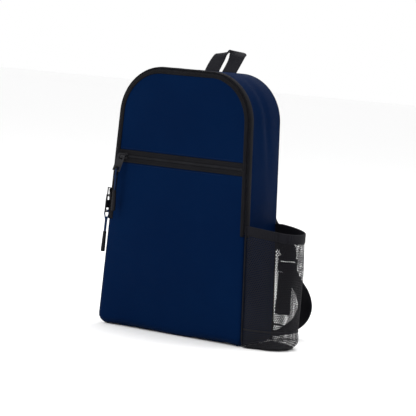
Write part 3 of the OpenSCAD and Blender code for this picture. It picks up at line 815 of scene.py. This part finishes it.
def build_knot(name, body, bar, turn, lean):
    """The cord's overhand knot, as a small trefoil where its two strands meet."""
    trefoil = []
    for t in np.linspace(0, 2 * math.pi, 49)[:-1]:
        x, z = math.sin(t) + 2 * math.sin(2 * t), math.cos(t) - 2 * math.cos(2 * t)
        trefoil.append((x * 0.75, -math.sin(3 * t) * 0.9, z * 0.75 + KNOT_Z))
    path = np.array(trefoil)
    spin = Matrix.Rotation(lean, 3, "Y") @ Matrix.Rotation(turn, 3, "Z")
    path = path @ np.array(spin).T + np.array(bar)
    tube = []
    for i, p in enumerate(path):
        along = unit(path[(i + 1) % len(path)] - path[i - 1])
        side = unit(np.cross(along, (0.3, 0.2, 0.9)))
        up = np.cross(side, along)
        tube.append([p + side * math.cos(a) * 0.8 + up * math.sin(a) * 0.8
                     for a in np.radians(np.arange(0, 360, 45))])
    tube.append(tube[0])
    place(sweep_object(name, tube, caps=False), body, "cord_fabric")


# ---------- bottle pocket ----------

def pocket_plan(z):
    """The pocket's line in plan at the height z, from the front seam round to the back seam."""
    front = leg_x(z) + 1.6
    back = leg_x(z) - BACK_INSET + 0.6
    shrink = 9 * max(0, 1 - z / 13) ** 2 + 1.5 * math.exp(-((z - 27) / 5) ** 2) + 2.0 * max(0, (z - 150) / 24)
    ring = spline([(front, -43.6), (front + 11, -45), (151, -42.8), (171, -36), (184, -22), (189, -3),
                   (186.4, 14), (176, 30), (158, 40), (139, 43.6), (back, 43.8)], 10)
    centre = np.array([(front + back) / 2, 0])
    away = ring - centre
    reach = np.linalg.norm(away, axis=1)
    share = np.clip((ring[:, 0] - front) / 30, 0, 1)
    ring = ring - (away / reach[:, None]) * (shrink * share)[:, None]
    return resample(ring, 1.2)


def pocket_surface():
    """A table of the pocket's wall: heights, and for each height the same number of points along the wall."""
    heights = np.r_[np.linspace(0.8, 12, 8), np.linspace(14, POCKET_TOP, 54)]
    table = []
    for z in heights:
        line = pocket_plan(z)
        at = np.linspace(0, 1, 160)
        own = np.linspace(0, 1, len(line))
        x, y = np.interp(at, own, line[:, 0]), np.interp(at, own, line[:, 1])
        pleat = np.sin(at * 58) * 0.9 * math.exp(-((z - 14) / 15) ** 2) + np.sin(at * 31 + 1) * 0.5
        fold = np.array([noise.noise(Vector((a * 5, z / 45, 4))) for a in at]) * 3.0
        edge = np.clip(np.minimum(at, 1 - at) * 8, 0, 1) * np.clip((POCKET_TOP - 8 - z) / 30, 0, 1)
        dx, dy = np.gradient(x), np.gradient(y)
        size = np.hypot(dx, dy)
        x, y = x + dy / size * (pleat + fold) * edge, y - dx / size * (pleat + fold) * edge
        droop = MOUTH_DROOP * np.clip((x - BASE_X) / 60, 0, 1) * (z / POCKET_TOP) ** 2
        table.append(np.stack([x, y, z - droop], axis=1))
    return heights, np.array(table)


def build_mesh_pocket():
    """The net, its floor, the elastic at its mouth, and its seams."""
    heights, table = pocket_surface()
    lengths = np.linalg.norm(np.diff(table[30], axis=0), axis=1)
    wall = lengths.sum()

    def at(s, z):
        """The wall's point s mm along it, at the height z."""
        row = np.interp(z, heights, np.arange(len(heights)))
        column = np.clip(s / wall, 0, 1) * (table.shape[1] - 1)
        r0, c0 = min(int(row), len(heights) - 2), min(int(column), table.shape[1] - 2)
        fr, fc = row - r0, column - c0
        low = table[r0, c0] * (1 - fc) + table[r0, c0 + 1] * fc
        high = table[r0 + 1, c0] * (1 - fc) + table[r0 + 1, c0 + 1] * fc
        return low * (1 - fr) + high * fr

    hexes("pocket_mesh", wall, 0.8, POCKET_TOP - BINDING_H + 3, at)
    # The mesh floor, drawn in at its edge.
    ring = table[1]
    inner_x = leg_x(1) + 0.8 - BACK_INSET * (ring[:, 1] - FRONT_Y) / (BACK_Y - FRONT_Y)
    rows = np.array([ring * [f, 1, 1] + np.outer(inner_x * (1 - f), [1, 0, 0])
                     for f in np.linspace(1, 0, 14)])
    rows[:, :, 2] = 1.4
    floor = grid_object("pocket_mesh_floor", rows)
    place(floor, "pack_shell", "mesh_fabric", ["mesh_pocket_floor"])
    # Elastic binding round the mouth.
    path = np.array([at(s, POCKET_TOP - BINDING_H / 2) for s in np.linspace(0, wall, 90)])
    path[:, 2] += 0.6 * np.sin(np.linspace(0, 9, 90))
    section = [(-1, -0.7), (-0.9, -1.3), (-0.45, -1.5), (0, -1.35), (0.45, -1.5), (0.9, -1.3), (1, -0.7),
               (1, 0.5), (0.9, 1.1), (0.45, 1.3), (0, 1.15), (-0.45, 1.3), (-0.9, 1.1), (-1, 0.5)]
    up = [np.array([0.0, 0, 1])] * len(path)
    binding = sweep_object("pocket_elastic", band_rings(path, [BINDING_H] * len(path), up, section))
    place(binding, "pack_shell", "black_fabric", ["mesh_pocket_binding"])
    tangent = np.gradient(path, axis=0)
    out = np.stack([tangent[:, 1], -tangent[:, 0], tangent[:, 0] * 0], axis=1)
    out /= np.linalg.norm(out, axis=1)[:, None]
    line = path + [0, 0, -BINDING_H / 2 + 1.6] + out * 1.45
    place(stitches("pocket_elastic_stitches", [line], [out], 2.0, 1.0, 0.22), "pack_shell", "black_fabric",
          material="black_thread")
    # Bound seams at the pocket's front and back edges, and the gathered seam near its bottom.
    front = np.array([(leg_x(z) + 1.4, -44.4 + 5 * max(0, 1 - z / 14) ** 2, z)
                      for z in np.linspace(4, POCKET_TOP - 1, 40)])
    seam = strip("pocket_front_binding", front, 5.0, (0.75, -0.66, 0), 1.6)
    place(seam, "pack_shell", "black_fabric", ["pocket_seam_binding"])
    back = np.array([(leg_x(z) - BACK_INSET + 0.6, 44.2, z) for z in np.linspace(3, POCKET_TOP - 1, 40)])
    place(strip("pocket_back_binding", back, 5.0, (0.7, 0.7, 0), 1.6), "pack_shell", "black_fabric")
    path = np.array([at(s, 27) for s in np.linspace(1, wall - 1, 120)])
    place(strip("pocket_gather_seam", path, 1.8, (0, 0, 1), 1.4), "pack_shell", "black_fabric",
          material="mesh_fabric")


def hexes(name, width, z0, z1, point):
    """A net of hexagonal holes laid on a surface. point(s, z) gives the surface."""
    row_step = MESH_PITCH * math.sqrt(3) / 2
    radius = MESH_PITCH / math.sqrt(3)
    points, faces, known = [], [], {}

    def add(s, z):
        points.append(point(min(max(s, 0), width), min(max(z, z0), z1)))
        return len(points) - 1

    def shared(s, z):
        """The number of a corner that up to three holes share."""
        key = (round(s * 20), round(z * 20))
        if key not in known:
            known[key] = add(s, z)
        return known[key]

    rows = int((z1 - z0) / row_step) + 1
    for r in range(rows):
        z = z0 + r * row_step
        for c in range(int(width / MESH_PITCH) + 1):
            s = c * MESH_PITCH + (MESH_PITCH / 2 if r % 2 else 0)
            corners = [(s + radius * math.sin(math.pi / 3 * k), z + radius * math.cos(math.pi / 3 * k))
                       for k in range(6)]
            if min(q[0] for q in corners) < -0.1 or max(q[0] for q in corners) > width + 0.1:
                continue
            outer = [shared(*q) for q in corners]
            inner = [add(s + (q[0] - s) * MESH_HOLE, z + (q[1] - z) * MESH_HOLE) for q in corners]
            for k in range(6):
                j = (k + 1) % 6
                faces.append((outer[k], outer[j], inner[j], inner[k]))
    place(mesh_object(name, points, faces), "pack_shell", "mesh_fabric", ["mesh_pocket"])


# ---------- handle, straps and webbing ----------

def build_handle():
    """The webbing goes up one leg, turns on edge over the top and comes down the other leg."""
    y0, z0, h = BACK_Y - 3, HEIGHT + 1.3, 32
    # Points are (x, part of h back, part of h up). turns are the webbing's twist there, in degrees.
    half = [(-15.5, 0, -0.01), (-15.5, 0.01, 0.03), (-15.75, 0.19, 0.26), (-15.6, 0.4, 0.52),
            (-14.6, 0.6, 0.76), (-9.6, 0.88, 0.91), (0, 0.99, 0.98)]
    turns = [0, 0, 0, 2, 10, 50, 90]
    left = [(x, y0 + y * h, z0 + z * h) for x, y, z in half]
    path = spline(left + [(-x, y, z) for x, y, z in left[-2::-1]], 10)
    turns += [180 - t for t in turns[-2::-1]]
    turn = np.interp(np.linspace(0, 1, len(path)), np.linspace(0, 1, len(turns)), turns)
    across = [np.array([math.cos(t), -math.sin(t), 0.1 * math.sin(t)]) for t in np.radians(turn)]
    obj = strip("grab_webbing", path, WEBBING_W, np.array(across), 1.8)
    place(obj, "grab_handle", "black_fabric", ["grab_handle"])


STRAP = [(36, 53, 366), (40, 57, 346), (48, 60, 306), (58, 61, 258), (68, 62, 206), (78, 69, 173),
         (94, 86, 151), (104, 96.5, 136)]
STRAP_WIDTHS = [1, 1, 1, 1, 1, 0.95, 0.78, 0.62]
STRAP_W, STRAP_T = 52, 9
LOCK = (108, 99, 118)
BAR_GAP, TURN_R = 9, 3
TURN_Z = LOCK[2] - BAR_GAP
ADJUSTER = [(104, 48.2, 10), (104.3, 56, 9.5), (109, 68, 8), (118, 90, 12), (127, 112, 26), (131, 120, 46),
            (127, 116, 68), (116, 105, 90), (LOCK[0], LOCK[1] + TURN_R, TURN_Z - 4)]
TAIL_Y, TAIL_Z, TAIL_LEN = LOCK[1] - TURN_R - 0.4, TURN_Z - 12, 62


def build_straps():
    """Two padded straps, each with a binding along both edges."""
    for side, tag in ((1, "right"), (-1, "left")):
        flip = np.array([side, 1, 1])
        path = spline(STRAP, 12) * flip
        along = np.linspace(0, 1, len(path))
        widths = STRAP_W * np.interp(along, np.linspace(0, 1, len(STRAP_WIDTHS)), STRAP_WIDTHS)
        t = STRAP_T / 2
        top = [(-0.9, 0.9), (-0.72, t * 0.78), (-0.4, t * 0.98), (0, t), (0.4, t * 0.98), (0.72, t * 0.78),
               (0.9, 0.9)]
        pad = top + [(a, -b) for a, b in top[::-1]]
        across = [np.array([1.0, 0, 0])] * len(path)
        rings = np.array(band_rings(path, widths, across, pad))
        middle = rings.mean(axis=1, keepdims=True)
        for i in range(len(rings)):
            squeeze = 1 - 0.65 * math.exp(-i / 3) - 0.5 * math.exp(-(len(rings) - 1 - i) / 3)
            rings[i] = middle[i] + (rings[i] - middle[i]) * [1, squeeze, 1]
        obj = sweep_object(f"strap_pad_{tag}", rings)
        # The pad's edges are held by their binding, and its middle puffs up a little.
        edges = rings[:, (0, 6)].reshape(-1, 3)
        inflate(obj, 4, 4, 3,
                lambda x, y, z: np.min(np.linalg.norm(edges - (x, y, z), axis=1)) < 4.5)
        place(obj, "pack_shell", "black_fabric", [f"shoulder_strap_{tag}"], "black_pad")
        # Binding tape folded over both long edges.
        for edge in (-1, 1):
            edge_path = np.array(band_rings(path, widths, across, [(edge * 0.93, 0)]))[:, 0]
            tape = [(-1, -1.6), (0.2, -1.9), (0.9, -1.2), (1, 0), (0.9, 1.2), (0.2, 1.9), (-1, 1.6)]
            tape = [(a * edge, b) for a, b in tape]
            if edge < 0:
                tape = tape[::-1]
            edge_name = f"strap_binding_{tag}_{'outer' if edge * side > 0 else 'inner'}"
            bound = sweep_object(edge_name, band_rings(edge_path, [5.2] * len(path), across, tape))
            place(bound, "pack_shell", "black_fabric")
        build_adjuster(side, tag)


def build_adjuster(side, tag):
    """What hangs below a strap: its end loop, the adjuster webbing, the loose tail and the anchor tab."""
    flip = np.array([side, 1, 1])
    turn = [(LOCK[0], LOCK[1] + TURN_R * math.cos(a), TURN_Z + TURN_R * math.sin(a))
            for a in np.radians(np.arange(0, 181, 15))]
    route = np.vstack([spline(ADJUSTER, 10), turn, [(LOCK[0], TAIL_Y, TAIL_Z + 1.1)]]) * flip
    obj = strip(f"adjuster_strip_{tag}", route, WEBBING_W, (1, 0, 0), 1.6)
    place(obj, "pack_shell", "black_fabric", [f"adjuster_webbing_{tag}"])
    # The tail: straight down, then folded back on itself and sewn at its tip.
    x = side * LOCK[0]
    z_tip = TAIL_Z - TAIL_LEN
    fold = [(x, TAIL_Y, z) for z in np.linspace(TAIL_Z, z_tip + 1.2, 14)]
    fold += [(x, TAIL_Y - 0.9 + 0.9 * math.cos(a), z_tip + 1.2 - 1.1 * math.sin(a))
             for a in np.radians((45, 90, 135))]
    fold += [(x, TAIL_Y - 1.8, z) for z in np.linspace(z_tip + 1.2, z_tip + 20, 6)]
    tail = strip(f"strap_tail_strip_{tag}", np.array(fold, float), WEBBING_W, (1, 0, 0), 1.5)
    place(tail, f"strap_tail_{tag}", "black_fabric", [f"strap_tail_{tag}"])
    # The strap's end loop round the ladder lock's top bar.
    r = 2.4
    up = (x - side * 4.5, LOCK[1] - 3.4, LOCK[2] + 26)
    loop = [(up[0], up[1] + 1, up[2]), (x - side * 1.6, LOCK[1] + r - 0.4, LOCK[2] + 15),
            (x, LOCK[1] + r, LOCK[2] + 7), (x, LOCK[1] + r, LOCK[2] + 2)]
    loop += [(x, LOCK[1] + r * math.cos(a), LOCK[2] + r * math.sin(a))
             for a in np.radians(np.linspace(0, -180, 13))]
    loop += [(x, LOCK[1] - r, LOCK[2] + 2), (x, LOCK[1] - r, LOCK[2] + 7),
             (x - side * 1.6, LOCK[1] - r - 0.6, LOCK[2] + 15), (up[0], up[1] - 1, up[2])]
    end = strip(f"strap_loop_{tag}", np.array(loop, float), WEBBING_W, (1, 0, 0), 1.4)
    place(end, "pack_shell", "black_fabric", [f"strap_end_loop_{tag}"])
    # The anchor tab in the bottom corner of the back panel.
    w = BASE_X - BACK_INSET
    rows = []
    for f in np.linspace(0, 1, 12):
        z = 5 + f * 26
        x0, x1 = w - 3, w - 36 + 24 * f
        rows.append([(side * (x0 + (x1 - x0) * k), BACK_Y + 2.0 + 0.8 * math.sin(math.pi * k) * (1 - f), z)
                     for k in np.linspace(0, 1, 14)])
    tab = thicken(grid_object(f"anchor_patch_{tag}", rows, flip=side > 0), 0.0018, 0)
    place(tab, "pack_shell", "black_fabric", [f"anchor_tab_{tag}"])


def build_yoke():
    """The sewn patch that takes the tops of both straps."""
    rows = []
    for f in np.linspace(0, 1, 12):
        z = 350 + 29 * f
        w = 67 - 6 * f
        rows.append([(x, BACK_Y + 3.0 + 1.6 * math.exp(-((abs(x) - 36) / 20) ** 2) * (1 - f), z)
                     for x in np.linspace(-w, w, 48)])
    obj = thicken(grid_object("strap_yoke_patch", rows, flip=True), 0.0018, 0)
    place(obj, "pack_shell", "black_fabric", ["strap_yoke"])


# ---------- build ----------

MATERIALS = build_materials()
build_camera()
build_cords()
build_studio()
build_front()
build_gusset()
build_base()
build_back()
build_back_piping()
build_pocket_lining()
build_main_zip()
build_pocket_zip()
build_hardware()
build_mesh_pocket()
build_handle()
build_straps()
build_yoke()
